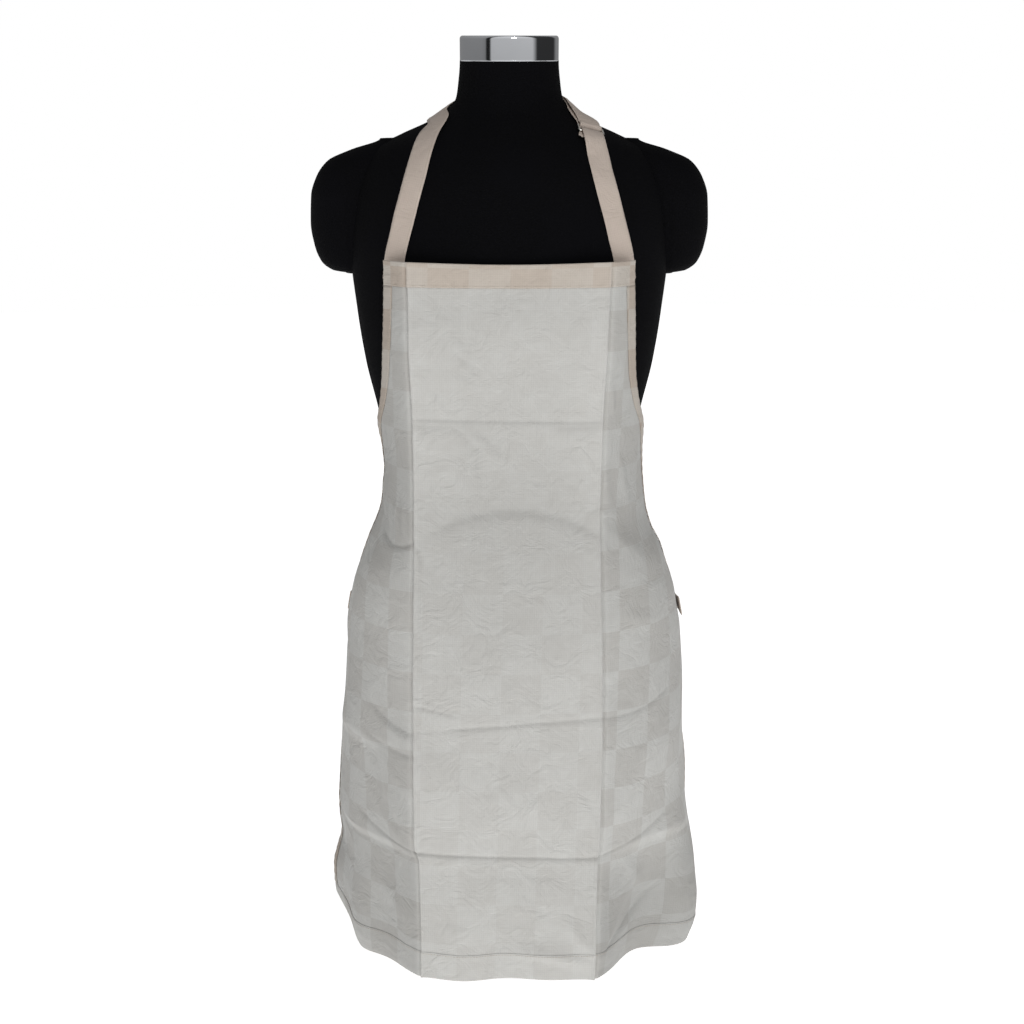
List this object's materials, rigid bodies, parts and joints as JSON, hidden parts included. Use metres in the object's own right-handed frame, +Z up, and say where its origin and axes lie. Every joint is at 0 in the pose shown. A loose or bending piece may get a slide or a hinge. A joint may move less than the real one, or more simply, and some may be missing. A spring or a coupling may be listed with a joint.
{
  "type": "bib apron on dress form",
  "caption": "Cotton bib apron with an adjustable neck strap and waist ties, worn by a jersey-covered dress form on a short adjustable swivel stand",
  "frame": {"origin": "centre of the underside of the stand, on the axis of the pole", "axes": "+Z up along the pole, front of the form and apron towards -Y, +X to the viewer's right when looking at the front"},
  "size_m": [0.441, 0.2888, 1.052],
  "materials": {
    "cloth": "woven cotton with a tonal check",
    "tape": "woven cotton, folded and stitched",
    "jersey": "fine black knit",
    "foam": "foam",
    "shell": "moulded papier-mache shell",
    "board": "plywood",
    "chrome": "polished",
    "steel": "satin",
    "powder_coat": "satin black",
    "ring_metal": "nickel plated",
    "black_plastic": "matt",
    "rubber": "matt"
  },
  "bodies": {
    "stand": {"base_plate": "powder_coat", "tube_foot": "powder_coat", "stand_tube": "steel", "tube_plug": "steel", "base_bolt": "steel", "tube_bush": "black_plastic", "clamp_collar": "steel", "rubber_pad_1": "rubber", "rubber_pad_2": "rubber", "rubber_pad_3": "rubber", "rubber_pad_4": "rubber", "rubber_pad_centre": "rubber"},
    "clamp": {"clamp_screw": "steel", "clamp_knob": "black_plastic"},
    "pole": {"pole": "steel", "pole_runner": "black_plastic", "pole_stop": "steel", "thrust_washer": "black_plastic", "pole_cap": "black_plastic"},
    "form": {"swivel_socket": "steel", "base_board": "board", "torso_shell": "shell", "torso_jersey": "jersey", "arm_stub_left": "foam", "arm_stub_right": "foam", "sleeve_left": "jersey", "sleeve_right": "jersey", "neck_plug": "board", "neck_cap": "chrome", "neck_screw": "steel", "apron_panel": "cloth", "top_hem": "cloth", "bottom_hem": "cloth", "side_hem_left": "cloth", "side_hem_right": "cloth", "strap_turn": "tape", "strap_loop": "tape", "neck_strap_long": "tape", "neck_strap_return": "tape", "neck_strap_short": "tape", "waist_tie_left": "tape", "waist_tie_right": "tape", "bow_loop_left": "tape", "bow_loop_right": "tape", "bow_tail_left": "tape", "bow_tail_right": "tape", "bow_knot": "tape", "socket_screw_1": "steel", "socket_screw_2": "steel", "socket_screw_3": "steel"},
    "ring": {"strap_ring": "ring_metal"},
    "slider": {"strap_slider": "ring_metal", "strap_end": "tape"}
  },
  "joints": [
    {"name": "clamp_knob_turn", "type": "hinge", "parent": "stand", "child": "clamp", "pos_m": [0, 0.033, 0.211], "axis": [0, 1, 0], "continuous": true},
    {"name": "height_slide", "type": "slide", "parent": "stand", "child": "pole", "axis": [0, 0, 1], "range_m": [0, 0.12]},
    {"name": "form_swivel", "type": "hinge", "parent": "pole", "child": "form", "pos_m": [0, 0, 0.26], "axis": [0, 0, 1], "continuous": true},
    {"name": "ring_swing", "type": "hinge", "parent": "form", "child": "ring", "pos_m": [0.08833, -0.05343, 0.95088], "axis": [0.9237, 0.3178, -0.214], "range_deg": [-1.5, 1.5]},
    {"name": "slider_slide", "type": "slide", "parent": "form", "child": "slider", "axis": [-0.8931, 0.4498, 0], "range_m": [-0.012, 0.012]}
  ]
}
